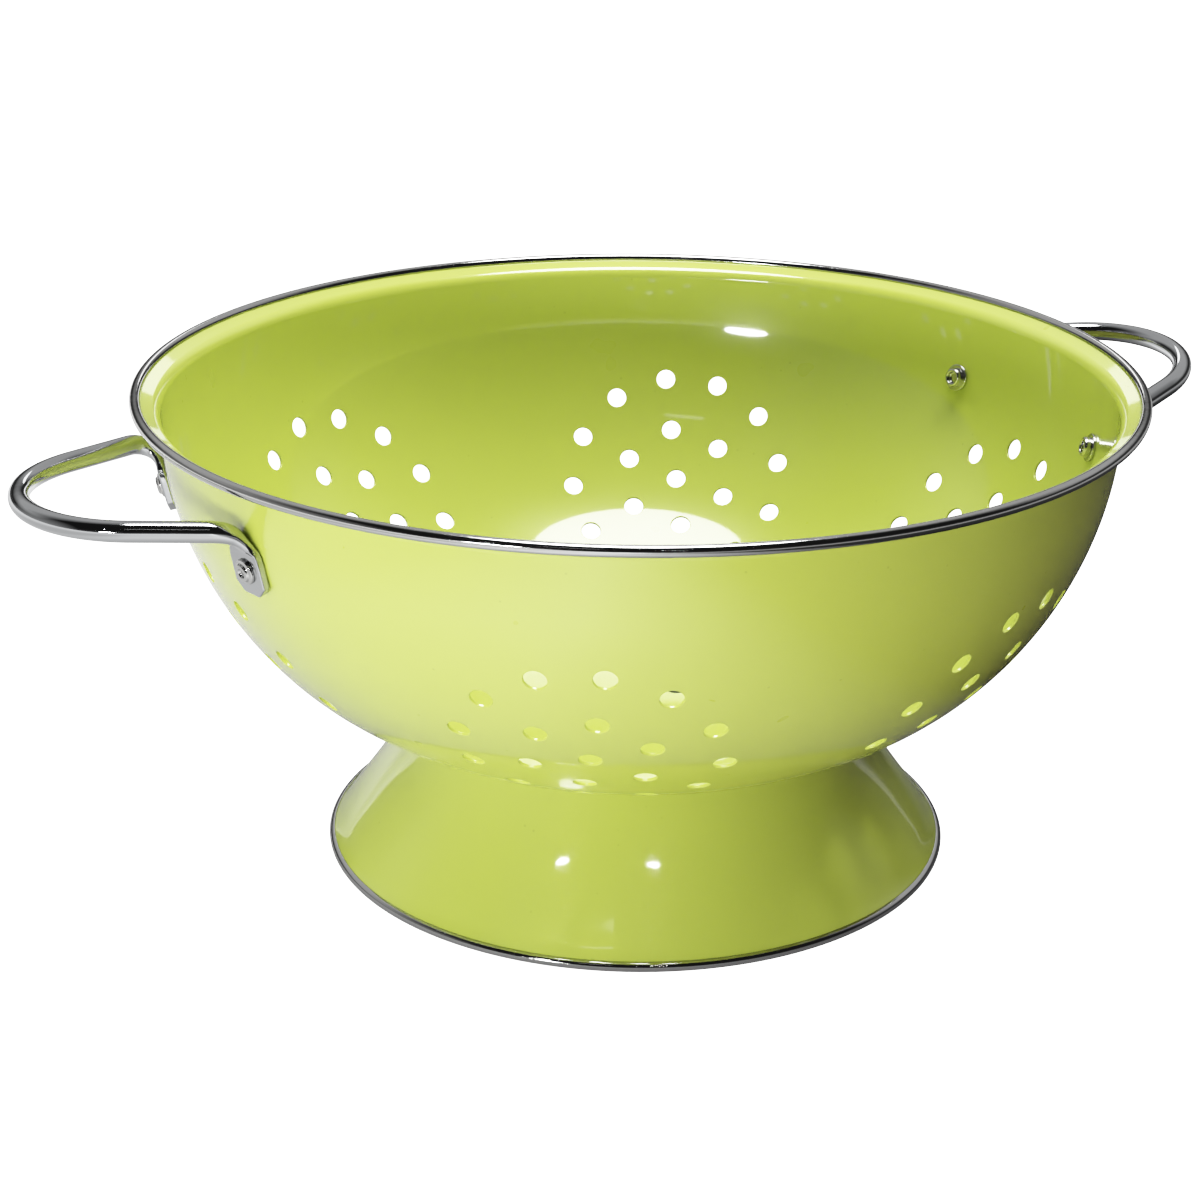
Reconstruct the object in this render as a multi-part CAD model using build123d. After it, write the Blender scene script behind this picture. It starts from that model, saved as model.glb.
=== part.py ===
from build123d import *
import os
from math import sin, cos, tan, asin, acos, atan2, sqrt, pi, radians, degrees, hypot

# Footed colander: a pressed and powder-coated steel bowl on a flared pedestal
# foot, bright rolled bands on both free edges and two forged rod handles,
# each held by two rivets with washers inside the bowl.
# Millimetres, +Z up, origin on the surface it stands on, under the bowl's axis.
# The handles lie along X.

# ---------------------------------------------------------------- dimensions
RIM_R = 145.0            # outer radius of the rolled band on the bowl's lip
SHEET = 0.9              # coated steel sheet, bowl and foot

# bowl, outer surface: flat bottom, tight lower arc, easy upper arc, turned-out lip
BOTTOM_Z = 40.08
BOTTOM_FLAT_R = 43.5
LOW_ARC_R = 90.57
LOW_ARC_DEG = 48.43
HIGH_ARC_R = 104.08
LIP_START_Z = 137.0
LIP_BEND_R = 2.9         # on the outer face of the sheet
LIP_ANGLE = 25.0         # lip above horizontal where it enters the band
RIM_BAND_R = 1.62        # rolled band, outside
RIM_BAND_Z = 142.13
BAND_WALL = 0.40
SLIT_PLAY = 0.03         # between a band's slit and the sheet, each face
SEAM_GAP = 0.12          # butt seam of each rolled band
RIM_SEAM_AZ = 75.0
FOOT_SEAM_AZ = 225.3

# drain holes: six rosettes of 1 + 6 + 12 holes on the wall, 1 + 6 in the bottom
HOLE_D = 6.3
RING_1 = 17.5
RING_2 = 34.9
RING_TURN = 9.6          # both rings, turned from straight up the wall
CLUSTER_R = 113.68       # cluster centre on the outer face
CLUSTER_AZ = [-0.8, 59.55, 119.9, 180.0, 240.15, 300.1]
BOTTOM_RING = 15.5
BOTTOM_TURN = 14.0

# foot
FOOT_BAND_R = 1.52
FOOT_BAND_CR = 91.9      # radius of the band's centre line
FOOT_BAND_Z = 1.42       # a little under its radius, so it stands on a narrow flat
FOOT_FLANGE_R = 56.0     # inner edge of the flange welded under the bowl

# handles: solid rod, one arc and two straight arms, ends forged flat
ROD_D = 5.8
LOOP_REACH = 179.4       # centre line at the tip, from the bowl's axis
LOOP_ARC_R = 35.15
LOOP_ARM_END = 140.4     # where the round rod starts to bend down
TAB_T = 2.2
TAB_W = 12.6
TAB_BELOW = 7.2          # tab's end below the rivet, along the wall
TAB_ABOVE = 5.6          # top of the flat
TAB_CHAMFER = 3.0
TAB_GAP = 0.05
BEND_OUT = 5.6           # how far the bend's curve keeps to the arm, and to the tab
BEND_DOWN = 3.9
# along the bend: fraction, half width, half thickness, squareness of the section
BEND_SECTIONS = [(0.0, 2.88, 2.88, 2.0), (0.25, 2.92, 2.80, 2.0), (0.5, 3.2, 2.42, 2.1), (0.7, 3.9, 1.85, 2.3), (0.85, 4.8, 1.34, 2.7), (1.0, 5.7, 1.07, 3.4)]
# azimuth, degrees of arc each side of the tip, height of the centre line at the
# rim's radius, rise outwards and rise towards the higher-azimuth arm, in degrees
HANDLES = {"right": (0.0, 65.0, 128.4, 8.5, 0.7), "left": (181.2, 65.75, 128.35, 0.2, 0.56)}

# rivets and washers: azimuth and height of each rivet where it leaves the bowl
STATION_AT = {
    "right_rear": (16.3, 117.5),
    "right_front": (-18.3, 118.0),
    "left_front": (198.4, 117.2),
    "left_rear": (164.5, 116.0),
}
SHANK_D = 4.0
SHANK_HOLE_D = 4.1
HEAD_D = 7.4
HEAD_H = 1.7
DIMPLE_D = 2.6
DIMPLE_H = 0.7
WASHER_D = 8.5
WASHER_T = 0.9
WASHER_LIFT = 0.11       # the flat washer bridges the hollow wall, touching at its rim
TAIL_D = 6.0
TAIL_H = 2.1
TAIL_BORE_D = 3.6
TAIL_BORE_H = 1.3

os.makedirs("parts", exist_ok=True)
AXIS = Axis.Z


def save(shape, name):
    shape.label = name
    export_step(shape, "parts/" + name + ".step")
    print(name, round(shape.volume, 1), "mm3", len(shape.solids()), "solid(s)", shape.is_valid)
    return shape


def rz(r, z):
    return Vector(r, 0, z)


def solid_of(shape):
    """The single solid of a result."""
    s = shape.solids()
    assert len(s) == 1, len(s)
    return s[0]


# -------------------------------------------------------------- bowl profile
t1 = radians(LOW_ARC_DEG)
C1 = (BOTTOM_FLAT_R, BOTTOM_Z + LOW_ARC_R)
P1 = (BOTTOM_FLAT_R, BOTTOM_Z)
P2 = (C1[0] + LOW_ARC_R * sin(t1), C1[1] - LOW_ARC_R * cos(t1))
C2 = (P2[0] - HIGH_ARC_R * sin(t1), P2[1] + HIGH_ARC_R * cos(t1))
t2 = acos((C2[1] - LIP_START_Z) / HIGH_ARC_R)
P3 = (C2[0] + HIGH_ARC_R * sin(t2), LIP_START_Z)
C3 = (P3[0] + LIP_BEND_R * sin(t2), P3[1] - LIP_BEND_R * cos(t2))
t3 = radians(LIP_ANGLE)
P4 = (C3[0] - LIP_BEND_R * sin(t3), C3[1] + LIP_BEND_R * cos(t3))
# the lip's middle passes through the band's centre line
RIM_BAND_CR = RIM_R - RIM_BAND_R
lip_run = (RIM_BAND_CR - (C3[0] - (LIP_BEND_R + SHEET / 2) * sin(t3))) / cos(t3)
lip_z = C3[1] + (LIP_BEND_R + SHEET / 2) * cos(t3) + lip_run * sin(t3)
print("lip middle meets the band centre at z", round(lip_z, 3), "band centre z", RIM_BAND_Z)
lip_run += 0.5
P5 = (P4[0] + lip_run * cos(t3), P4[1] + lip_run * sin(t3))


def inner(p, t):
    """The same point on the inner face; t is the profile's slope there."""
    return (p[0] - SHEET * sin(t), p[1] + SHEET * cos(t))


def arc_mid(c, r, a, b, side=1):
    m = (a + b) / 2
    return (c[0] + side * r * sin(m), c[1] - side * r * cos(m))


def bowl_wall_r(z):
    """Outer radius of the bowl at a height on either arc."""
    if z >= P2[1]:
        return C2[0] + sqrt(HIGH_ARC_R ** 2 - (C2[1] - z) ** 2)
    return C1[0] + sqrt(LOW_ARC_R ** 2 - (C1[1] - z) ** 2)


def bowl_slope(z):
    """Slope of the outer face above horizontal at that height, radians."""
    if z >= P2[1]:
        return acos((C2[1] - z) / HIGH_ARC_R)
    return acos((C1[1] - z) / LOW_ARC_R)


i1, i2, i3, i4, i5 = inner(P1, 0), inner(P2, t1), inner(P3, t2), inner(P4, t3), inner(P5, t3)
bowl_edges = [
    Line(rz(0, BOTTOM_Z), rz(*P1)),
    ThreePointArc(rz(*P1), rz(*arc_mid(C1, LOW_ARC_R, 0, t1)), rz(*P2)),
    ThreePointArc(rz(*P2), rz(*arc_mid(C2, HIGH_ARC_R, t1, t2)), rz(*P3)),
    ThreePointArc(rz(*P3), rz(*arc_mid(C3, LIP_BEND_R, t3, t2, -1)), rz(*P4)),
    Line(rz(*P4), rz(*P5)),
    Line(rz(*P5), rz(*i5)),
    Line(rz(*i5), rz(*i4)),
    ThreePointArc(rz(*i4), rz(*arc_mid(C3, LIP_BEND_R + SHEET, t3, t2, -1)), rz(*i3)),
    ThreePointArc(rz(*i3), rz(*arc_mid(C2, HIGH_ARC_R - SHEET, t1, t2)), rz(*i2)),
    ThreePointArc(rz(*i2), rz(*arc_mid(C1, LOW_ARC_R - SHEET, 0, t1)), rz(*i1)),
    Line(rz(*i1), rz(0, BOTTOM_Z + SHEET)),
    Line(rz(0, BOTTOM_Z + SHEET), rz(0, BOTTOM_Z)),
]
bowl = solid_of(revolve(make_face(Wire(bowl_edges)), AXIS, 360))

# ------------------------------------------------------- drain hole positions
# a point on the outer face is (distance up the profile, azimuth); the ring
# radii are straight distances from the cluster's centre
LOW_LEN = LOW_ARC_R * t1


def on_wall(s):
    """Outer face at length s up the profile from the flat's edge: r, z, slope."""
    if s <= LOW_LEN:
        a = s / LOW_ARC_R
        return C1[0] + LOW_ARC_R * sin(a), C1[1] - LOW_ARC_R * cos(a), a
    a = t1 + (s - LOW_LEN) / HIGH_ARC_R
    return C2[0] + HIGH_ARC_R * sin(a), C2[1] - HIGH_ARC_R * cos(a), a


ca = asin((CLUSTER_R - C2[0]) / HIGH_ARC_R)
S0 = LOW_LEN + (ca - t1) * HIGH_ARC_R
r0, z0, a0 = on_wall(S0)
print("cluster centre r", round(r0, 2), "z", round(z0, 2))


def ring_point(rho, th):
    """s and azimuth of the hole at straight distance rho and direction th."""
    up = Vector(cos(a0), 0, sin(a0))
    side = Vector(0, 1, 0)
    c = Vector(r0, 0, z0)
    s, az = S0 + rho * cos(th), rho * sin(th) / r0
    for _ in range(30):
        r, z, a = on_wall(s)
        d = Vector(r * cos(az), r * sin(az), z) - c
        u, v = d.dot(up), d.dot(side)
        k = rho / d.length
        fu, fv = cos(th) * hypot(u, v) - u, sin(th) * hypot(u, v) - v
        s += fu * k + (k - 1) * (s - S0)
        az += fv * k / r + (k - 1) * az
    r, z, a = on_wall(s)
    return r, z, a, az


pattern = [(0.0, 0.0)]
pattern += [(RING_1, radians(RING_TURN + 60 * i)) for i in range(6)]
pattern += [(RING_2, radians(RING_TURN + 30 * i)) for i in range(12)]
drills = []
for az_c in CLUSTER_AZ:
    base = radians(az_c)
    for rho, th in pattern:
        r, z, a, az = ring_point(rho, th) if rho else (r0, z0, a0, 0.0)
        n = Vector(sin(a) * cos(az + base), sin(a) * sin(az + base), -cos(a))
        p = Vector(r * cos(az + base), r * sin(az + base), z)
        drills.append(Plane(origin=p + n * 2.5, z_dir=-n) * Cylinder(HOLE_D / 2, 6, align=(Align.CENTER, Align.CENTER, Align.MIN)))
for rho, n in ((0, 1), (BOTTOM_RING, 6)):
    for i in range(n):
        a = radians(BOTTOM_TURN + i * 360 / n)
        drills.append(Pos(rho * cos(a), rho * sin(a), BOTTOM_Z - 2) * Cylinder(HOLE_D / 2, 6, align=(Align.CENTER, Align.CENTER, Align.MIN)))

# ------------------------------------------------------------- rivet stations
def rivet_frame(az, z):
    """Point on the outer face, outward normal, level direction towards higher
    azimuth and direction up the wall."""
    t = bowl_slope(z)
    n = Vector(sin(t) * cos(az), sin(t) * sin(az), -cos(t))
    side = Vector(-sin(az), cos(az), 0)
    up = side.cross(n)
    if up.Z < 0:
        up = up * -1
    return Vector(bowl_wall_r(z) * cos(az), bowl_wall_r(z) * sin(az), z), n, side, up


stations = {}
for name, (az_deg, z) in STATION_AT.items():
    p, n, side_dir, up = rivet_frame(radians(az_deg), z)
    stations[name] = Plane(origin=p, x_dir=side_dir, z_dir=n)
for name, pl in stations.items():
    drills.append(pl * Pos(0, 0, -3) * Cylinder(SHANK_HOLE_D / 2, 6, align=(Align.CENTER, Align.CENTER, Align.MIN)))

bowl = solid_of(bowl - drills)
save(bowl, "bowl")


# ------------------------------------------------------------- rolled bands
def rolled_band(cr, cz, rad, wall, slit_dir, low, high, seam_az, flat=None):
    """Strip rolled to a round section around a sheet's edge: slit_dir is the
    direction in the section, in degrees, from the centre out through the slit,
    and low and high are the slit's sides, measured across it."""
    pl = Plane.XZ
    c = (cr, cz)
    sec = (pl * Pos(cr, cz, 0) * Circle(rad)) - (pl * Pos(cr, cz, 0) * Circle(rad - wall))
    d = (cos(radians(slit_dir)), sin(radians(slit_dir)))
    n = (-d[1], d[0])
    q = []
    for along, across in ((0, low), (rad + 1, low), (rad + 1, high), (0, high)):
        q.append(rz(cr + d[0] * along + n[0] * across, cz + d[1] * along + n[1] * across))
    sec = sec - make_face(Polyline(*q, close=True))
    if flat is not None:
        sec = sec - make_face(Polyline(rz(cr - 5, flat), rz(cr + 5, flat), rz(cr + 5, flat - 5), rz(cr - 5, flat - 5), close=True))
    f = sec.faces().sort_by(SortBy.AREA)[-1]
    gap = degrees(SEAM_GAP / cr)
    ring = revolve(f, AXIS, 360 - gap)
    return solid_of(Rot(0, 0, seam_az + gap / 2) * ring)


h = SHEET / 2 + SLIT_PLAY
rim_band = rolled_band(RIM_BAND_CR, lip_z, RIM_BAND_R, BAND_WALL, 180 + LIP_ANGLE, -h, h, RIM_SEAM_AZ)
save(rim_band, "rim_band")

# --------------------------------------------------------------------- foot
# outer face of the trumpet, from the bowl down to inside the foot's band
FOOT_PTS = [(66.2, 43.0), (72.6, 30.2), (80.84, 17.4), (85.0, 11.6), (88.2, 7.25), (90.9, 3.75), (92.3, 2.3)]
top_r = FOOT_PTS[0][0]
top_a = asin((top_r - C1[0]) / LOW_ARC_R)
top_z = C1[1] - LOW_ARC_R * cos(top_a)
FOOT_PTS[0] = (top_r, top_z)
outer_curve = Spline([rz(*p) for p in FOOT_PTS])
N = 14
outer_pts, inner_pts = [], []
for i in range(N + 1):
    u = i / N
    p, t = outer_curve @ u, outer_curve % u
    n = Vector(t.Z, 0, -t.X)          # towards the axis
    if n.X > 0:
        n = n * -1
    outer_pts.append(p)
    inner_pts.append(p + n * SHEET)
# flange: follows the bowl's underside, from the trumpet's top in to its inner edge
fl_a = asin((FOOT_FLANGE_R - C1[0]) / LOW_ARC_R)


def under(a, off):
    return rz(C1[0] + (LOW_ARC_R + off) * sin(a), C1[1] - (LOW_ARC_R + off) * cos(a))


# where the trumpet's inner face meets the flange's lower face
def cross_low():
    lo, hi = 0.0, 1.0
    inner_curve = Spline(inner_pts)
    for _ in range(50):
        m = (lo + hi) / 2
        p = inner_curve @ m
        if hypot(p.X - C1[0], p.Z - C1[1]) < LOW_ARC_R + SHEET:
            lo = m
        else:
            hi = m
    return inner_curve, lo


inner_curve, u0 = cross_low()
q0 = inner_curve @ u0
qa = atan2(q0.X - C1[0], C1[1] - q0.Z)
low_pts = [inner_curve @ (u0 + (1 - u0) * i / N) for i in range(N + 1)]
out_sp = Spline(outer_pts)
in_sp = Spline(low_pts)
foot_edges = [
    out_sp,
    Line(out_sp @ 1, in_sp @ 1),
    in_sp,
    ThreePointArc(in_sp @ 0, under((qa + fl_a) / 2, SHEET), under(fl_a, SHEET)),
    Line(under(fl_a, SHEET), under(fl_a, 0)),
    ThreePointArc(under(fl_a, 0), under((fl_a + top_a) / 2, 0), out_sp @ 0),
]
foot = solid_of(revolve(make_face(Wire(foot_edges)), AXIS, 360))
save(foot, "foot")

# the sheet crosses the band in the direction of the trumpet's last stretch
tend = out_sp % 1
d_up = Vector(-tend.X, 0, -tend.Z)
ang = degrees(atan2(d_up.Z, d_up.X))
nx = Vector(-d_up.Z, 0, d_up.X)
ctr = rz(FOOT_BAND_CR, FOOT_BAND_Z)
across = [(out_sp @ 1 - ctr).dot(nx), (in_sp @ 1 - ctr).dot(nx)]
near = rz(FOOT_BAND_CR + d_up.X * 2.2, FOOT_BAND_Z + d_up.Z * 2.2)
# a little wider at the mouth, because the trumpet still bends there
a_lo, a_hi = min(across) - SLIT_PLAY - 0.03, max(across) + SLIT_PLAY + 0.03
print("foot slit", round(ang, 1), round(a_lo, 2), round(a_hi, 2))
foot_band = rolled_band(FOOT_BAND_CR, FOOT_BAND_Z, FOOT_BAND_R, BAND_WALL, ang, a_lo, a_hi, FOOT_SEAM_AZ, flat=0.0)
save(foot_band, "foot_band")


# ------------------------------------------------------------------- handles
def closed_section(p, t, b, half_b, half_n, power):
    """Closed curve around p across direction t: half_b wide along b, half_n
    thick across it, round at power 2 and squarer above."""
    t = t.normalized()
    b = (b - t * b.dot(t)).normalized()
    n = t.cross(b)
    pts = []
    for i in range(20):
        a = 2 * pi * i / 20
        ca_, sa_ = cos(a), sin(a)
        x = half_b * (1 if ca_ > 0 else -1) * abs(ca_) ** (2 / power)
        y = half_n * (1 if sa_ > 0 else -1) * abs(sa_) ** (2 / power)
        pts.append(p + b * x + n * y)
    return Wire([Spline(pts, periodic=True)])


def make_handle(side):
    """Built for a handle whose middle lies on +X, then turned to its place."""
    az0, half, loop_z, tilt, lean = HANDLES[side]
    k, m = tan(radians(tilt)), tan(radians(lean))

    th = radians(half)
    # the loop's own plane: one direction outwards, one level with the rim
    out_dir = Vector(1, 0, k).normalized()
    along = Vector(0, 1, m)
    along = (along - out_dir * along.dot(out_dir)).normalized()
    tip = Vector(LOOP_REACH, 0, loop_z + k * (LOOP_REACH - RIM_R))
    centre = tip - out_dir * LOOP_ARC_R

    def arm(s):
        """Where an arm leaves the arc, its direction and where its bend starts."""
        e = centre + out_dir * (LOOP_ARC_R * cos(th)) + along * (s * LOOP_ARC_R * sin(th))
        d = out_dir * -sin(th) + along * (s * cos(th))
        return e, d, e + d * ((e.X - LOOP_ARM_END) / -d.X)

    (e1, d1, f1), (e2, d2, f2) = arm(-1), arm(1)
    path = Wire([Line(f1, e1), ThreePointArc(e1, tip, e2), Line(e2, f2)])
    sec = Plane(origin=f1, z_dir=d1 * -1) * Circle(ROD_D / 2)
    rod = sweep(sec, path)

    ends = {}
    for name, (az_deg, z) in STATION_AT.items():
        if name.startswith(side):
            rel = (az_deg - az0 + 180) % 360 - 180
            ends[1 if rel > 0 else -1] = rivet_frame(radians(rel), z)

    body = [rod]
    for s, (riv, n, side_dir, up) in ends.items():
        mid = riv + n * (TAB_GAP + TAB_T / 2)
        # flat tab: both lower corners cut off, its long edges rounded
        hw, ch = TAB_W / 2, TAB_CHAMFER
        pl = Plane(origin=mid, x_dir=side_dir, z_dir=n)
        flip = 1 if pl.y_dir.Z > 0 else -1
        top = TAB_ABOVE + 0.6
        out = [(-hw, TAB_ABOVE - 2), (-hw, -TAB_BELOW + ch), (-hw + ch, -TAB_BELOW), (hw - ch, -TAB_BELOW), (hw, -TAB_BELOW + ch), (hw, TAB_ABOVE - 2), (hw - 0.9, top), (-hw + 0.9, top)]
        out = [(x, y * flip) for x, y in out]
        face = pl * Pos(0, 0, -TAB_T / 2) * make_face(Polyline(*out, close=True))
        tab = extrude(face, TAB_T, dir=n)
        tab = fillet(tab.edges().filter_by(lambda e_: abs((e_.tangent_at(0.5)).dot(n)) < 0.1 and (e_.center() - mid).dot(up) < top - 0.5), 0.55)
        # forged bend from the round arm down into the tab
        _e, dA, A = arm(s)
        T0 = mid + up * (TAB_ABOVE + 0.2)
        dT = up * -1
        h0, h1 = A + dA * BEND_OUT, T0 - dT * BEND_DOWN
        A0 = A - dA * 0.8

        def bez(u):
            v = 1 - u
            return A * v ** 3 + h0 * (3 * v * v * u) + h1 * (3 * v * u * u) + T0 * u ** 3

        def dbez(u):
            v = 1 - u
            return (h0 - A) * (3 * v * v) + (h1 - h0) * (6 * v * u) + (T0 - h1) * (3 * u * u)

        bA = out_dir * (cos(th) * s) + along * sin(th)
        bT = side_dir
        if bA.dot(bT) < 0:
            bA = bA * -1
        R = ROD_D / 2
        secs = [closed_section(A0, dA, bA, R - 0.02, R - 0.02, 2.0)]
        for u, w, tk, pw in BEND_SECTIONS:
            p, t = bez(u), dbez(u)
            b = bA * (1 - u) + bT * u
            secs.append(closed_section(p, t, b, w, tk, pw))
        secs.append(closed_section(mid + up * (TAB_ABOVE - 1.8), dT, bT, 5.9, TAB_T / 2 - 0.03, 3.6))
        bend = Solid.make_loft(secs, False)
        body += [bend, tab]
    whole = body[0]
    for b in body[1:]:
        whole = whole + b
    # rivet holes
    for riv, n, side_dir, up in ends.values():
        whole = whole - Plane(origin=riv - n * 2, z_dir=n) * Cylinder(SHANK_HOLE_D / 2, 10, align=(Align.CENTER, Align.CENTER, Align.MIN))
    return Rot(0, 0, az0) * solid_of(whole)


for side in HANDLES:
    save(make_handle(side), "handle_" + side)

# --------------------------------------------------------- rivets and washers
up_z = (Align.CENTER, Align.CENTER, Align.MIN)
face_z = TAB_GAP + TAB_T                 # tab's outer face, from the bowl's outer face
for name, pl in stations.items():
    # section of the rivet in its own frame, z outwards, from the tail's end to
    # the low domed head with a dimple in its middle
    zi = -SHEET                          # bowl's inner face, at the rivet
    wz = zi - WASHER_LIFT - WASHER_T - 0.01
    hr = HEAD_D / 2
    edges = [
        Line(rz(0, wz - TAIL_H + TAIL_BORE_H), rz(TAIL_BORE_D / 2, wz - TAIL_H + TAIL_BORE_H)),
        Line(rz(TAIL_BORE_D / 2, wz - TAIL_H + TAIL_BORE_H), rz(TAIL_BORE_D / 2, wz - TAIL_H + 0.35)),
        ThreePointArc(rz(TAIL_BORE_D / 2, wz - TAIL_H + 0.35), rz(TAIL_BORE_D / 2 + 0.42, wz - TAIL_H), rz(TAIL_D / 2 - 0.45, wz - TAIL_H + 0.22)),
        ThreePointArc(rz(TAIL_D / 2 - 0.45, wz - TAIL_H + 0.22), rz(TAIL_D / 2 - 0.1, wz - TAIL_H + 0.55), rz(TAIL_D / 2, wz - TAIL_H + 1.1)),
        Line(rz(TAIL_D / 2, wz - TAIL_H + 1.1), rz(TAIL_D / 2, wz)),
        Line(rz(TAIL_D / 2, wz), rz(SHANK_D / 2, wz)),
        Line(rz(SHANK_D / 2, wz), rz(SHANK_D / 2, face_z + 0.02)),
        Line(rz(SHANK_D / 2, face_z + 0.02), rz(hr - 0.35, face_z + 0.02)),
        ThreePointArc(rz(hr - 0.35, face_z + 0.02), rz(hr - 0.05, face_z + 0.17), rz(hr, face_z + 0.5)),
        ThreePointArc(rz(hr, face_z + 0.5), rz(hr * 0.78, face_z + 1.27), rz(DIMPLE_D / 2 + 0.35, face_z + HEAD_H)),
        Line(rz(DIMPLE_D / 2 + 0.35, face_z + HEAD_H), rz(DIMPLE_D / 2, face_z + HEAD_H)),
        Line(rz(DIMPLE_D / 2, face_z + HEAD_H), rz(DIMPLE_D / 2 - 0.25, face_z + HEAD_H - DIMPLE_H)),
        Line(rz(DIMPLE_D / 2 - 0.25, face_z + HEAD_H - DIMPLE_H), rz(0, face_z + HEAD_H - DIMPLE_H)),
        Line(rz(0, face_z + HEAD_H - DIMPLE_H), rz(0, wz - TAIL_H + TAIL_BORE_H)),
    ]
    rivet = solid_of(revolve(make_face(Wire(edges)), AXIS, 360))
    save(solid_of(pl * rivet), "rivet_" + name)
    wo = WASHER_D / 2
    ring = Pos(0, 0, zi - WASHER_LIFT - WASHER_T) * (Cylinder(wo, WASHER_T, align=up_z) - Cylinder(SHANK_HOLE_D / 2, WASHER_T, align=up_z))
    ring = fillet(ring.edges().filter_by(GeomType.CIRCLE).filter_by(lambda e_: e_.radius > wo - 0.1).sort_by(Axis.Z)[:1], 0.25)
    save(solid_of(pl * ring), "washer_" + name)
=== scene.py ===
import math
from math import sin, cos, tan, asin, acos, sqrt, exp, pi, radians, degrees, hypot

import bpy
import numpy as np
from mathutils import Vector, Matrix
from mathutils.geometry import delaunay_2d_cdt


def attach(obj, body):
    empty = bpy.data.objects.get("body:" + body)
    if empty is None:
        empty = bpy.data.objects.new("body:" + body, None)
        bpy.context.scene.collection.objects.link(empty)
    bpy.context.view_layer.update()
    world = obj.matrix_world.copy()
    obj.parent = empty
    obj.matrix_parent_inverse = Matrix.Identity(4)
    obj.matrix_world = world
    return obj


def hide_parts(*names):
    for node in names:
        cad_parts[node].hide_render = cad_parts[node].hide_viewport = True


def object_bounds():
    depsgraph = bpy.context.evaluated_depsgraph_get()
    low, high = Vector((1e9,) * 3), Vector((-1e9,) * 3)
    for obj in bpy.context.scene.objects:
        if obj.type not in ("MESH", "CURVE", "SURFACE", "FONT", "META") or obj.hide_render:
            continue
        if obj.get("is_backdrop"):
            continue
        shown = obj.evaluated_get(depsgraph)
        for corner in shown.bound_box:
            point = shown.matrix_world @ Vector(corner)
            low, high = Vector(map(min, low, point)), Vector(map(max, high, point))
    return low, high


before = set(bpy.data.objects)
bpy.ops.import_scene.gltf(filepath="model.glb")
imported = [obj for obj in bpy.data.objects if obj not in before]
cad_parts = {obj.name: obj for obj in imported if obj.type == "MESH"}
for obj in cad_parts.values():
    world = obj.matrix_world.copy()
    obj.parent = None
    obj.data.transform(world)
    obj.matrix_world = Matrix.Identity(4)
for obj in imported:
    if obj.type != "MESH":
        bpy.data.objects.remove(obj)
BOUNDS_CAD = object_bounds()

MM = 0.001
RNG = np.random.default_rng(11)

# ------------------------------------------------------------------ sizes, mm
R = 145.0
SHEET = 0.9
C1 = (43.5, 40.08 + 90.57)
RHO1 = 90.57
T1 = radians(48.43)
P2 = (C1[0] + RHO1 * sin(T1), C1[1] - RHO1 * cos(T1))
RHO2 = 104.08
C2 = (P2[0] - RHO2 * sin(T1), P2[1] + RHO2 * cos(T1))
LIP_Z = 137.0
T2 = acos((C2[1] - LIP_Z) / RHO2)
P3 = (C2[0] + RHO2 * sin(T2), LIP_Z)
RHO3 = 2.9
C3 = (P3[0] + RHO3 * sin(T2), P3[1] - RHO3 * cos(T2))
T3 = radians(25.0)
P4 = (C3[0] - RHO3 * sin(T3), C3[1] + RHO3 * cos(T3))
BAND_R = 1.62
BAND_CR = R - BAND_R
LIP_RUN = (BAND_CR - (C3[0] - (RHO3 + SHEET / 2) * sin(T3))) / cos(T3)
BAND_Z = C3[1] + (RHO3 + SHEET / 2) * cos(T3) + LIP_RUN * sin(T3)
LEN1 = RHO1 * T1
LEN2 = RHO2 * (T2 - T1)
LEN3 = RHO3 * (T2 - T3)
S_LIP = LEN1 + LEN2
S_LIP2 = S_LIP + LEN3
S_END = S_LIP2 + LIP_RUN - 0.2
NPHI = 216


def wall(s):
    """Outer face of the bowl at length s from the flat's edge: r, z and outward
    normal (nr, nz) in the section."""
    if s <= 0:
        return C1[0] + s, C1[1] - RHO1, 0.0, -1.0
    if s <= LEN1:
        a = s / RHO1
        return C1[0] + RHO1 * sin(a), C1[1] - RHO1 * cos(a), sin(a), -cos(a)
    if s <= S_LIP:
        a = T1 + (s - LEN1) / RHO2
        return C2[0] + RHO2 * sin(a), C2[1] - RHO2 * cos(a), sin(a), -cos(a)
    if s <= S_LIP2:
        a = T2 - (s - S_LIP) / RHO3
        return C3[0] - RHO3 * sin(a), C3[1] + RHO3 * cos(a), sin(a), -cos(a)
    d = s - S_LIP2
    return P4[0] + d * cos(T3), P4[1] + d * sin(T3), sin(T3), -cos(T3)


def wall_r(z):
    if z >= P2[1]:
        return C2[0] + sqrt(RHO2 ** 2 - (C2[1] - z) ** 2)
    return C1[0] + sqrt(RHO1 ** 2 - (C1[1] - z) ** 2)


# ------------------------------------------------------------- mesh helpers
def new_mesh(name, verts_mm, faces, normals=None, material=None, nodes=()):
    me = bpy.data.meshes.new(name)
    me.from_pydata([tuple(v * MM for v in p) for p in verts_mm], [], faces)
    me.polygons.foreach_set("use_smooth", [True] * len(me.polygons))
    me.update()
    if normals is not None:
        me.normals_split_custom_set_from_vertices([tuple(n) for n in normals])
    ob = bpy.data.objects.new(name, me)
    bpy.context.scene.collection.objects.link(ob)
    if material:
        me.materials.append(material)
    if nodes:
        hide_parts(*nodes)
    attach(ob, "root")
    return ob


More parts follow.
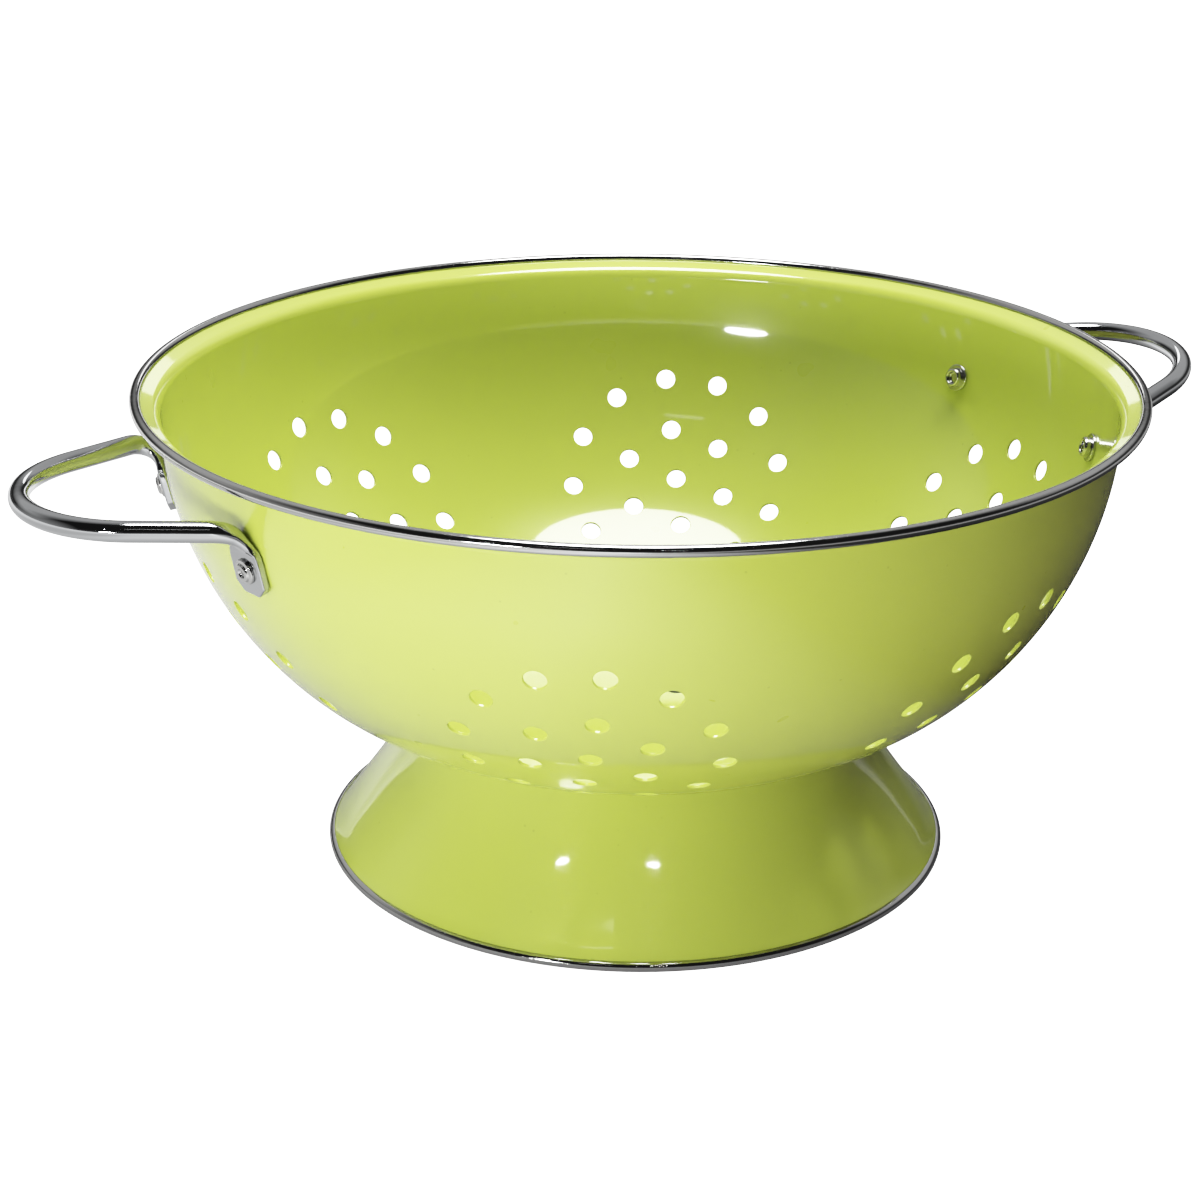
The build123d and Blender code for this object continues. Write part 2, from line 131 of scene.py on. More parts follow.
def rounded(points, radii, steps=5):
    """A closed polyline with its corners rounded by the given radii."""
    out = []
    n = len(points)
    for i in range(n):
        p = np.array(points[i], float)
        a = np.array(points[i - 1], float) - p
        b = np.array(points[(i + 1) % n], float) - p
        rad = radii[i]
        if rad <= 0:
            out.append(tuple(p))
            continue
        la, lb = np.linalg.norm(a), np.linalg.norm(b)
        a, b = a / la, b / lb
        ang = acos(max(-1, min(1, float(a @ b))))
        t = min(rad / tan(ang / 2), la * 0.45, lb * 0.45)
        rr = t * tan(ang / 2)
        m = a + b
        c = p + m / np.linalg.norm(m) * (rr / sin(ang / 2))
        s0, s1 = p + a * t - c, p + b * t - c
        for k in range(steps + 1):
            u = k / steps
            tot = acos(max(-1, min(1, float(s0 @ s1) / (rr * rr))))
            w = (sin((1 - u) * tot) * s0 + sin(u * tot) * s1) / sin(tot)
            out.append(tuple(c + w))
    return out


def section_normals(pts):
    """Outward normals of a closed section (r, z), weighted by edge length."""
    p = np.array(pts, float)
    area = 0.5 * float(np.sum(p[:, 0] * np.roll(p[:, 1], -1) - np.roll(p[:, 0], -1) * p[:, 1]))
    d = np.roll(p, -1, 0) - p
    n = np.stack([d[:, 1], -d[:, 0]], 1) * (1 if area > 0 else -1)
    v = n * np.linalg.norm(n, axis=1, keepdims=True) + np.roll(n * np.linalg.norm(n, axis=1, keepdims=True), 1, 0)
    v /= np.linalg.norm(v, axis=1, keepdims=True)
    return v, area > 0


def revolve(section, segs, start=0.0, sweep_deg=360.0):
    """Vertices, faces, normals of a closed section turned about Z."""
    nrm, ccw = section_normals(section)
    full = abs(sweep_deg - 360.0) < 1e-6
    n = len(section)
    cols = segs if full else segs + 1
    verts, normals, faces = [], [], []
    for i in range(cols):
        a = radians(start + sweep_deg * i / segs)
        for (r, z), (nr, nz) in zip(section, nrm):
            verts.append((r * cos(a), r * sin(a), z))
            normals.append((nr * cos(a), nr * sin(a), nz))
    for i in range(segs):
        j = (i + 1) % cols
        for k in range(n):
            m = (k + 1) % n
            q = (i * n + k, j * n + k, j * n + m, i * n + m)
            faces.append(q if ccw else q[::-1])
    if not full:
        a = tuple(range(n))
        b = tuple(range((cols - 1) * n, cols * n))
        faces.append(a if ccw else a[::-1])
        faces.append(b[::-1] if ccw else b)
    return verts, faces, normals


def revolve_open(section, segs):
    """As revolve, for a section whose first and last points lie on the axis."""
    p = np.array(section, float)
    nrm, ccw = section_normals(section)
    nrm[0] = (0, np.sign(nrm[0][1]) or 1)
    nrm[-1] = (0, np.sign(nrm[-1][1]) or 1)
    inner = len(p) - 2
    verts = [(0, 0, p[0][1]), (0, 0, p[-1][1])]
    normals = [(0, 0, nrm[0][1]), (0, 0, nrm[-1][1])]
    faces = []
    for i in range(segs):
        a = 2 * pi * i / segs
        for k in range(1, len(p) - 1):
            verts.append((p[k][0] * cos(a), p[k][0] * sin(a), p[k][1]))
            normals.append((nrm[k][0] * cos(a), nrm[k][0] * sin(a), nrm[k][1]))
    for i in range(segs):
        j = (i + 1) % segs
        a0, b0 = 2 + i * inner, 2 + j * inner
        tri = [(0, b0, a0)]
        end = [(1, a0 + inner - 1, b0 + inner - 1)]
        quads = [(a0 + k, b0 + k, b0 + k + 1, a0 + k + 1) for k in range(inner - 1)]
        for f in tri + quads + end:
            faces.append(f if ccw else f[::-1])
    return verts, faces, normals


def placed(verts, normals, m):
    """Vertices and normals moved by a 4x4 matrix in millimetres."""
    v = np.c_[np.array(verts, float), np.ones(len(verts))] @ m.T
    n = np.array(normals, float) @ m[:3, :3].T
    return v[:, :3].tolist(), n.tolist()


# ---------------------------------------------------------------- materials
def material(name):
    m = bpy.data.materials.new(name)
    m.use_nodes = True
    nt = m.node_tree
    for n in list(nt.nodes):
        nt.nodes.remove(n)
    out = nt.nodes.new("ShaderNodeOutputMaterial")
    b = nt.nodes.new("ShaderNodeBsdfPrincipled")
    nt.links.new(b.outputs[0], out.inputs[0])
    return m, nt, b


class Graph:
    def __init__(self, nt):
        self.nt = nt

    def node(self, kind, **props):
        n = self.nt.nodes.new(kind)
        for k, v in props.items():
            setattr(n, k, v)
        return n

    def link(self, a, b):
        self.nt.links.new(a, b)

    def coords(self, scale=(1, 1, 1)):
        t = self.node("ShaderNodeTexCoord")
        m = self.node("ShaderNodeMapping")
        m.inputs["Scale"].default_value = scale
        self.link(t.outputs["Object"], m.inputs["Vector"])
        return m.outputs[0]

    def noise(self, vec, scale, detail=2.0, rough=0.5, distortion=0.0):
        n = self.node("ShaderNodeTexNoise")
        n.inputs["Scale"].default_value = scale
        n.inputs["Detail"].default_value = detail
        n.inputs["Roughness"].default_value = rough
        n.inputs["Distortion"].default_value = distortion
        self.link(vec, n.inputs["Vector"])
        return n.outputs["Fac"]

    def ramp(self, fac, stops, mode="LINEAR"):
        n = self.node("ShaderNodeValToRGB")
        n.color_ramp.interpolation = mode
        e = n.color_ramp.elements
        while len(e) < len(stops):
            e.new(0.5)
        for i, (p, c) in enumerate(stops):
            e[i].position = p
            e[i].color = c if len(c) == 4 else (*c, 1)
        self.link(fac, n.inputs[0])
        return n.outputs[0]

    def maprange(self, v, a, b, c, d):
        n = self.node("ShaderNodeMapRange")
        for i, x in zip((1, 2, 3, 4), (a, b, c, d)):
            n.inputs[i].default_value = x
        self.link(v, n.inputs[0])
        return n.outputs[0]

    def mix(self, fac, a, b, mode="MIX"):
        n = self.node("ShaderNodeMix", data_type="RGBA", blend_type=mode)
        for sock, v in ((n.inputs[0], fac), (n.inputs[6], a), (n.inputs[7], b)):
            if hasattr(v, "is_linked"):
                self.link(v, sock)
            else:
                sock.default_value = v if not isinstance(v, tuple) or len(v) == 4 else (*v, 1)
        return n.outputs[2]

    def math(self, op, a, b=0.0):
        n = self.node("ShaderNodeMath", operation=op)
        for sock, v in ((n.inputs[0], a), (n.inputs[1], b)):
            if hasattr(v, "is_linked"):
                self.link(v, sock)
            else:
                sock.default_value = v
        return n.outputs[0]

    def bump(self, height, strength, distance, normal=None):
        n = self.node("ShaderNodeBump")
        n.inputs["Strength"].default_value = strength
        n.inputs["Distance"].default_value = distance
        self.link(height, n.inputs["Height"])
        if normal is not None:
            self.link(normal, n.inputs["Normal"])
        return n.outputs[0]


def coat_material():
    m, nt, b = material("lime_coat")
    g = Graph(nt)
    v = g.coords()
    broad = g.noise(v, 14.0, 3.0, 0.5)
    cloud = g.noise(v, 60.0, 2.0, 0.5)
    col = g.ramp(broad, [(0.2, (0.349, 0.415, 0.0680)), (0.8, (0.353, 0.420, 0.0690))])
    col = g.mix(g.maprange(cloud, 0.2, 0.8, 0.0, 0.10), col, (0.328, 0.402, 0.064, 1))
    # pinholes and dust caught in the coat
    vo = g.node("ShaderNodeTexVoronoi", feature="F1")
    vo.inputs["Scale"].default_value = 260.0
    g.link(v, vo.inputs["Vector"])
    gate = g.noise(v, 90.0, 1.0)
    speck = g.math("MULTIPLY", g.maprange(vo.outputs["Distance"], 0.05, 0.13, 1.0, 0.0), g.maprange(gate, 0.60, 0.66, 0.0, 1.0))
    col = g.mix(g.math("MULTIPLY", speck, 0.45), col, (0.22, 0.27, 0.05, 1))
    g.link(col, b.inputs["Base Color"])
    rough = g.math("ADD", g.maprange(cloud, 0.2, 0.8, 0.27, 0.30), g.math("MULTIPLY", speck, 0.25))
    g.link(rough, b.inputs["Roughness"])
    b.inputs["Specular IOR Level"].default_value = 0.3
    b.inputs["Coat Weight"].default_value = 1.0
    b.inputs["Coat Roughness"].default_value = 0.05
    b.inputs["Coat IOR"].default_value = 1.75
    peel = g.noise(v, 420.0, 2.0, 0.5)
    wave = g.noise(v, 55.0, 2.0, 0.5)
    n1 = g.bump(wave, 0.002, 0.0012)
    n2 = g.bump(peel, 0.02, 0.0002, n1)
    n3 = g.bump(speck, 0.35, -0.00012, n2)
    g.link(n3, b.inputs["Normal"])
    n4 = g.bump(wave, 0.003, 0.0012)
    n5 = g.bump(peel, 0.012, 0.0002, n4)
    g.link(n5, b.inputs["Coat Normal"])
    return m


def steel_material(name, tint, rough_lo, rough_hi, scratch=0.2, ring=False):
    m, nt, b = material(name)
    g = Graph(nt)
    v = g.coords()
    broad = g.noise(v, 40.0, 3.0, 0.55)
    col = g.ramp(broad, [(0.25, tuple(c * 0.93 for c in tint)), (0.75, tint)])
    g.link(col, b.inputs["Base Color"])
    b.inputs["Metallic"].default_value = 1.0
    fine = g.noise(v, 900.0, 2.0, 0.5)
    smudge = g.noise(v, 120.0, 3.0, 0.6)
    r = g.math("ADD", g.maprange(smudge, 0.35, 0.7, rough_lo, rough_hi), g.maprange(fine, 0.3, 0.7, 0.0, 0.03))
    g.link(r, b.inputs["Roughness"])
    n = g.bump(fine, scratch, 0.00004)
    wave = g.noise(v, 220.0, 1.0, 0.5)
    n2 = g.bump(wave, 0.10, 0.0003, n)
    g.link(n2, b.inputs["Normal"])
    return m


LIME = coat_material()
BAND = steel_material("bright_steel", (0.56, 0.56, 0.555), 0.06, 0.13)
CHROME = steel_material("chromed_rod", (0.52, 0.53, 0.54), 0.03, 0.08, 0.1)
RIVET = steel_material("rivet_metal", (0.56, 0.56, 0.55), 0.10, 0.20, 0.3)
WASHER = steel_material("washer_metal", (0.56, 0.56, 0.55), 0.12, 0.22, 0.3)

# --------------------------------------------------------------------- bowl
HOLE_R = 3.15
FIL = 0.22
NRING = 32
RING_1, RING_2, TURN = 17.5, 34.9, 9.6
CLUSTER_R = 113.68
CLUSTER_AZ = [-0.8, 59.55, 119.9, 180.0, 240.15, 300.1]
S0 = LEN1 + (asin((CLUSTER_R - C2[0]) / RHO2) - T1) * RHO2


def ring_point(rho, th):
    r0, z0, nr, nz = wall(S0)
    up = np.array([-nz, 0, nr])
    side = np.array([0, 1.0, 0])
    c = np.array([r0, 0, z0])
    s, az = S0 + rho * cos(th), rho * sin(th) / r0
    for _ in range(30):
        r, z, _a, _b = wall(s)
        d = np.array([r * cos(az), r * sin(az), z]) - c
        u, v = d @ up, d @ side
        k = rho / np.linalg.norm(d)
        fu, fv = cos(th) * hypot(u, v) - u, sin(th) * hypot(u, v) - v
        s += fu * k + (k - 1) * (s - S0)
        az += fv * k / r + (k - 1) * az
    return s, az


holes = [(S0, 0.0)]
holes += [ring_point(RING_1, radians(TURN + 60 * i)) for i in range(6)]
holes += [ring_point(RING_2, radians(TURN + 30 * i)) for i in range(12)]


class Bowl:
    """Vertices of both faces of the sheet, shared by (face, s, azimuth)."""

    def __init__(self):
        self.v, self.n, self.f, self.key = [], [], [], {}

    def point(self, s, phi, depth, normal=None, key=True):
        full = 2 * pi
        k = (round(s * 1e3), round((phi % full) * 1e6) % round(full * 1e6), round(depth * 1e3))
        if key and k in self.key:
            return self.key[k]
        r, z, nr, nz = wall(s)
        rr, zz = r - nr * depth, z - nz * depth
        self.v.append((rr * cos(phi), rr * sin(phi), zz))
        if normal is None:
            sg = 1 if depth < SHEET / 2 else -1
            normal = (sg * nr * cos(phi), sg * nr * sin(phi), sg * nz)
        self.n.append(normal)
        if key:
            self.key[k] = len(self.v) - 1
        return len(self.v) - 1


bowl = Bowl()


def face(depth, idx):
    """A face listed anticlockwise as seen with s up and azimuth to the right,
    looking from outside; turned over on the inner face."""
    bowl.f.append(tuple(idx) if depth < SHEET / 2 else tuple(idx)[::-1])


def grid(s_list):
    for depth in (0.0, SHEET):
        for a, b in zip(s_list[:-1], s_list[1:]):
            for i in range(NPHI):
                p, q = 2 * pi * i / NPHI, 2 * pi * (i + 1) / NPHI
                face(depth, (bowl.point(a, p, depth), bowl.point(a, q, depth), bowl.point(b, q, depth), bowl.point(b, p, depth)))


def hole_rings(centre_fn, edge_idx):
    """From a patch's ring of N points on each face, over the rounded edge and
    through the sheet. centre_fn(rho, theta, depth, normal) makes a vertex."""
    rows = []
    steps = 4
    seq = [(HOLE_R + FIL + 0.25, 0.0, 0.0), (HOLE_R + FIL, 0.0, 0.0)]
    for k in range(1, steps + 1):
        a = pi / 2 * k / steps
        seq.append((HOLE_R + FIL * (1 - sin(a)), FIL * (1 - cos(a)), a))
    for k in range(steps, 0, -1):
        a = pi / 2 * k / steps
        seq.append((HOLE_R + FIL * (1 - sin(a)), SHEET - FIL * (1 - cos(a)), pi - a))
    seq += [(HOLE_R + FIL, SHEET, pi), (HOLE_R + FIL + 0.25, SHEET, pi)]
    rows.append(edge_idx[0])
    for rho, d, a in seq:
        rows.append([centre_fn(rho, 2 * pi * i / NRING, d, a) for i in range(NRING)])
    rows.append(edge_idx[1])
    for x, y in zip(rows[:-1], rows[1:]):
        for i in range(NRING):
            j = (i + 1) % NRING
            bowl.f.append((x[i], y[i], y[j], x[j]))


EDGE_R = HOLE_R + FIL + 0.8


def patch(domain_pts, hole_xy, to_point, ring_maker):
    """Triangulates a flat domain round its holes and maps it onto both faces."""
    pts = [Vector(p) for p in domain_pts]
    edges = []
    rings = []
    for hx, hy in hole_xy:
        base = len(pts)
        ring = []
        for i in range(NRING):
            th = 2 * pi * i / NRING
            pts.append(Vector(ring_maker((hx, hy), th)))
            ring.append(base + i)
        for i in range(NRING):
            edges.append((base + i, base + (i + 1) % NRING))
        rings.append(ring)
    v, e, f, ov, oe, of_ = delaunay_2d_cdt(pts, edges, [], 0, 1e-6)
    back = {}
    for new, olds in enumerate(ov):
        for o in olds:
            back[o] = new
    source = {}
    for o, new in back.items():
        source.setdefault(new, o)
    keep = []
    for t in f:
        c = sum((v[i] for i in t), Vector((0, 0))) / len(t)
        inside = False
        for k, (hx, hy) in enumerate(hole_xy):
            poly = [pts[i] for i in rings[k]]
            if point_in(c, poly):
                inside = True
                break
        if not inside:
            keep.append([source[i] for i in t])
    made = []
    for depth in (0.0, SHEET):
        idx = [to_point(i, pts[i], depth, i >= len(domain_pts)) for i in range(len(pts))]
        made.append(idx)
        for t in keep:
            a, b, c = (pts[i] for i in t)
            ccw = (b - a).cross(c - a) > 0
            tt = t if ccw else t[::-1]
            face(depth, [idx[i] for i in tt])
    return [([made[0][i] for i in ring], [made[1][i] for i in ring]) for ring in rings]


def point_in(p, poly):
    c = False
    j = len(poly) - 1
    for i in range(len(poly)):
        a, b = poly[i], poly[j]
        if (a.y > p.y) != (b.y > p.y) and p.x < (b.x - a.x) * (p.y - a.y) / (b.y - a.y) + a.x:
            c = not c
        j = i
    return c


# wall below and above the rosettes, and the turned-out lip
S_A, S_B = S0 - 41.0, S0 + 41.0
n_low = 13
grid([S_A * i / n_low for i in range(n_low + 1)])
up = [S_B + (S_LIP - S_B) * i / 8 for i in range(9)]
up += [S_LIP + LEN3 * i / 7 for i in range(1, 8)]
up += [S_LIP2 + (S_END - S_LIP2) * i / 2 for i in range(1, 3)]
grid(up)
for i in range(NPHI):
    p, q = 2 * pi * i / NPHI, 2 * pi * (i + 1) / NPHI
    a, b = bowl.point(S_END, p, 0.0), bowl.point(S_END, q, 0.0)
    c, d = bowl.point(S_END, q, SHEET), bowl.point(S_END, p, SHEET)
    bowl.f.append((a, b, c, d))

# six rosettes on the wall; in the flat domain x = azimuth x 100, y = s
K = 100.0
per = NPHI // 6
rows_s = 25
for c in range(6):
    base = c * pi / 3
    turn_c = radians(CLUSTER_AZ[c]) - base
    here = [(hs, ha + turn_c) for hs, ha in holes]
    dom = []
    for j in range(rows_s + 1):
        s = S_A + (S_B - S_A) * j / rows_s
        edge_row = j in (0, rows_s)
        for i in range(per + 1):
            if not edge_row and i not in (0, per) and j % 2:
                i_ = i + 0.5
                if i_ > per - 0.6:
                    continue
            else:
                i_ = i
            phi = (-30 + 60 * i_ / per) * pi / 180
            if not edge_row and i_ not in (0, per):
                r = wall(s)[0]
                if any(hypot(s - hs, (phi - ha) * r) < EDGE_R + 0.9 for hs, ha in here):
                    continue
            dom.append((phi * K, s))

    def to_point(i, p, depth, is_ring, base=base):
        return bowl.point(p[1], p[0] / K + base, depth, key=True)

    def ring_maker(h, th):
        s = h[1] + EDGE_R * cos(th)
        return ((h[0] / K + EDGE_R * sin(th) / wall(s)[0]) * K, s)

    rings = patch(dom, [(ha * K, hs) for hs, ha in here], to_point, ring_maker)
    for (hs, ha), pair in zip(here, rings):
        def make(rho, th, d, a, hs=hs, ha=ha, base=base):
            s = hs + rho * cos(th)
            r, z, nr, nz = wall(s)
            phi = ha + rho * sin(th) / r + base
            ns = np.array([nr * cos(phi), nr * sin(phi), nz])
            ts = np.array([-nz * cos(phi), -nz * sin(phi), nr])
            tp = np.array([-sin(phi), cos(phi), 0])
            out = ts * cos(th) + tp * sin(th)
            n = ns * cos(a) - out * sin(a)
            return bowl.point(s, phi, d, tuple(n), key=False)

        hole_rings(make, pair)

# the flat bottom with its own seven holes; the domain is the plan itself
bh = [(0.0, 0.0)]
bh += [(15.5 * cos(radians(14 + 60 * i)), 15.5 * sin(radians(14 + 60 * i))) for i in range(6)]
disc = [(C1[0] * cos(2 * pi * i / NPHI), C1[0] * sin(2 * pi * i / NPHI)) for i in range(NPHI)]
n_edge = len(disc)
for ring_r, count in ((42.3, 108), (40.4, 90), (37.9, 72)):
    disc += [(ring_r * cos(2 * pi * i / count), ring_r * sin(2 * pi * i / count)) for i in range(count)]
for i in range(-12, 13):
    for j in range(-12, 13):
        x, y = (i + 0.5 * (j % 2)) * 3.2, j * 2.8
        if hypot(x, y) < 36.2 and all(hypot(x - a, y - b) > EDGE_R + 0.9 for a, b in bh):
            disc.append((x, y))
disc = [p for k, p in enumerate(disc) if k < n_edge or all(hypot(p[0] - a, p[1] - b) > EDGE_R + 0.4 for a, b in bh)]
bottom_made = {}


def to_flat(i, p, depth, is_ring):
    if i < n_edge:
        return bowl.point(0.0, 2 * pi * i / NPHI, depth)
    bowl.v.append((p[0], p[1], 40.08 + depth))
    bowl.n.append((0, 0, -1 if depth < SHEET / 2 else 1))
    return len(bowl.v) - 1


def flat_ring(h, th):
    # the domain is seen from above, so it is mirrored against the wall's
    return (h[0] + EDGE_R * cos(th), h[1] + EDGE_R * sin(th))


before = len(bowl.f)
rings = patch(disc, bh, to_flat, flat_ring)
bowl.f[before:] = [t[::-1] for t in bowl.f[before:]]
for (hx, hy), pair in zip(bh, rings):
    def make(rho, th, d, a, hx=hx, hy=hy):
        o = (cos(th), sin(th), 0)
        bowl.v.append((hx + rho * o[0], hy + rho * o[1], 40.08 + d))
        bowl.n.append((-o[0] * sin(a), -o[1] * sin(a), -cos(a)))
        return len(bowl.v) - 1

    hole_rings(make, pair)

bowl_obj = new_mesh("bowl_shell", bowl.v, bowl.f, bowl.n, LIME, ("bowl",))

# -------------------------------------------------------------------- bands


def band_section(cr, cz, rad, wall_t, slit_deg, low, high, steps=44):
    """C-shaped section of a strip rolled round a sheet's edge."""
    a_lo, a_hi = asin(low / rad), asin(high / rad)
    i_lo, i_hi = asin(low / (rad - wall_t)), asin(high / (rad - wall_t))
    base = radians(slit_deg)
    pts = []
    for k in range(steps + 1):
        a = base + a_hi + (2 * pi - a_hi + a_lo) * k / steps
        pts.append((cr + rad * cos(a), cz + rad * sin(a)))
    for k in range(steps // 2 + 1):
        a = base + i_lo + 2 * pi - (2 * pi - i_hi + i_lo) * k / (steps // 2)
        pts.append((cr + (rad - wall_t) * cos(a), cz + (rad - wall_t) * sin(a)))
    return pts


def band(name, section, cr, seam, node):
    gap = degrees(0.12 / cr)
    v, f, n = revolve(section, 240, seam + gap / 2, 360 - gap)
    return new_mesh(name, v, f, n, BAND, (node,))


H = SHEET / 2 + 0.03
band("rim_band_strip", band_section(BAND_CR, BAND_Z, BAND_R, 0.40, 180 + degrees(T3), -H, H), BAND_CR, 75.0, "rim_band")

# --------------------------------------------------------------------- foot
FOOT_PTS = [(66.2, 43.0), (72.6, 30.2), (80.84, 17.4), (85.0, 11.6), (88.2, 7.25), (90.9, 3.75), (92.3, 2.3)]


def natural(pts, count):
    """Points on a smooth curve through pts, evenly spaced along it."""
    p = np.array(pts, float)
    t = np.r_[0, np.cumsum(np.linalg.norm(np.diff(p, axis=0), axis=1))]
    n = len(t)
    out = []
    tt = np.linspace(0, t[-1], count)
    for dim in range(2):
        h = np.diff(t)
        A = np.zeros((n, n))
        b = np.zeros(n)
        A[0, 0] = A[-1, -1] = 1
        for i in range(1, n - 1):
            A[i, i - 1], A[i, i], A[i, i + 1] = h[i - 1], 2 * (h[i - 1] + h[i]), h[i]
            b[i] = 6 * ((p[i + 1, dim] - p[i, dim]) / h[i] - (p[i, dim] - p[i - 1, dim]) / h[i - 1])
        m = np.linalg.solve(A, b)
        k = np.clip(np.searchsorted(t, tt, side="right") - 1, 0, n - 2)
        dx = tt - t[k]
        hk = h[k]
        y = p[:, dim]
        out.append(
            y[k]
            + dx * ((y[k + 1] - y[k]) / hk - hk * (2 * m[k] + m[k + 1]) / 6)
            + dx ** 2 * m[k] / 2
            + dx ** 3 * (m[k + 1] - m[k]) / (6 * hk)
        )
    return np.stack(out, 1)


fo = natural(FOOT_PTS, 46)
a_top = asin((fo[0][0] - C1[0]) / RHO1)
fo[0] = (fo[0][0], C1[1] - RHO1 * cos(a_top))
tan_ = np.gradient(fo, axis=0)
tan_ /= np.linalg.norm(tan_, axis=1, keepdims=True)
fi = fo + np.stack([tan_[:, 1], -tan_[:, 0]], 1) * SHEET
rr = np.hypot(fi[:, 0] - C1[0], fi[:, 1] - C1[1])
keep_i = np.where(rr > RHO1 + SHEET + 0.35)[0]
fi = fi[keep_i[0]:]
q = fi[0]
qa = math.atan2(q[0] - C1[0], C1[1] - q[1])
fl_a = asin((56.0 - C1[0]) / RHO1)
GAP = 0.03
flange_low = [(C1[0] + (RHO1 + SHEET + GAP) * sin(a), C1[1] - (RHO1 + SHEET + GAP) * cos(a)) for a in np.linspace(qa, fl_a, 10)][1:]
flange_up = [(C1[0] + (RHO1 + GAP) * sin(a), C1[1] - (RHO1 + GAP) * cos(a)) for a in np.linspace(fl_a, a_top - 0.004, 12)]
# a soft roll where the flange turns down into the trumpet
foot_section = [tuple(p) for p in fo[1:]] + [tuple(p) for p in fi[::-1]] + flange_low + flange_up
v, f, n = revolve(foot_section, NPHI)
foot_obj = new_mesh("foot_shell", v, f, n, LIME, ("foot",))

FB_CR, FB_Z, FB_R = 91.9, 1.42, 1.52
end_t = fo[-1] - fo[-2]
end_t /= np.linalg.norm(end_t)
d_up = -end_t
nx = np.array([-d_up[1], d_up[0]])
ac = sorted([float((fo[-1] - (FB_CR, FB_Z)) @ nx), float((fi[-1] - (FB_CR, FB_Z)) @ nx)])
sec = band_section(FB_CR, FB_Z, FB_R, 0.40, degrees(math.atan2(d_up[1], d_up[0])), ac[0] - 0.06, ac[1] + 0.06)
sec = [(r, max(z, 0.0)) for r, z in sec]
band("foot_band_strip", sec, FB_CR, 225.3, "foot_band")

# ------------------------------------------------------------------ handles
ROD_R = 2.9
REACH, ARC_R = 179.4, 35.15
ARM_END = 140.4
TAB_T, TAB_W = 2.2, 12.6
TAB_BELOW, TAB_ABOVE, TAB_CH = 7.2, 5.6, 3.0
HANDLES = {"right": (0.0, 65.0, 128.4, 8.5, 0.7), "left": (181.2, 65.75, 128.35, 0.2, 0.56)}
STATIONS = {
    "right_rear": (16.3, 117.5),
    "right_front": (-18.3, 118.0),
    "left_front": (198.4, 117.2),
    "left_rear": (164.5, 116.0),
}
BEND_OUT, BEND_DOWN = 5.6, 3.9


def unit(v):
    return v / np.linalg.norm(v)


def rivet_frame(az, z):
    t = acos((C2[1] - z) / RHO2)
    n = np.array([sin(t) * cos(az), sin(t) * sin(az), -cos(t)])
    sd = np.array([-sin(az), cos(az), 0])
    up = np.cross(sd, n)
    if up[2] < 0:
        up = -up
    return np.array([wall_r(z) * cos(az), wall_r(z) * sin(az), z]), n, sd, up


# the section along a handle runs from a circle to a rounded rectangle; both are
# closed curves of as many points, eleven to the quarter
NQ = 11


def quarter_flat(w, h, rc):
    """From the middle of the narrow side to the middle of the wide side."""
    rc = min(rc, w * 0.98, h * 0.98)
    pts = [(w, 0.45 * (h - rc))]
    for k in range(5):
        a = pi / 2 * k / 4
        pts.append((w - rc + rc * cos(a), h - rc + rc * sin(a)))
    for fr in (0.10, 0.28, 0.48, 0.70, 0.90):
        pts.append(((w - rc) * (1 - fr), h))
    return pts


def section_xy(w, h, square, rc=0.5):
    """44 points, anticlockwise from just past the width direction."""
    quarter = []
    for k, (fx, fy) in enumerate(quarter_flat(w, h, rc)):
        a = pi / 2 * (k + 0.5) / NQ
        quarter.append((w * cos(a) * (1 - square) + fx * square, h * sin(a) * (1 - square) + fy * square))
    back = quarter[::-1]
    return quarter + [(-x, y) for x, y in back] + [(-x, -y) for x, y in quarter] + [(x, -y) for x, y in back]


def tab_half_width(dz):
    """Half width of the flat tab at a distance up from the rivet."""
    x = dz + TAB_BELOW
    w = TAB_W / 2 - TAB_CH * 0.5 * (1 - x / TAB_CH + sqrt((1 - x / TAB_CH) ** 2 + 0.003))
    top = max(0.0, (dz - 1.5) / (TAB_ABOVE - 1.5))
    return w - 0.55 * top ** 2


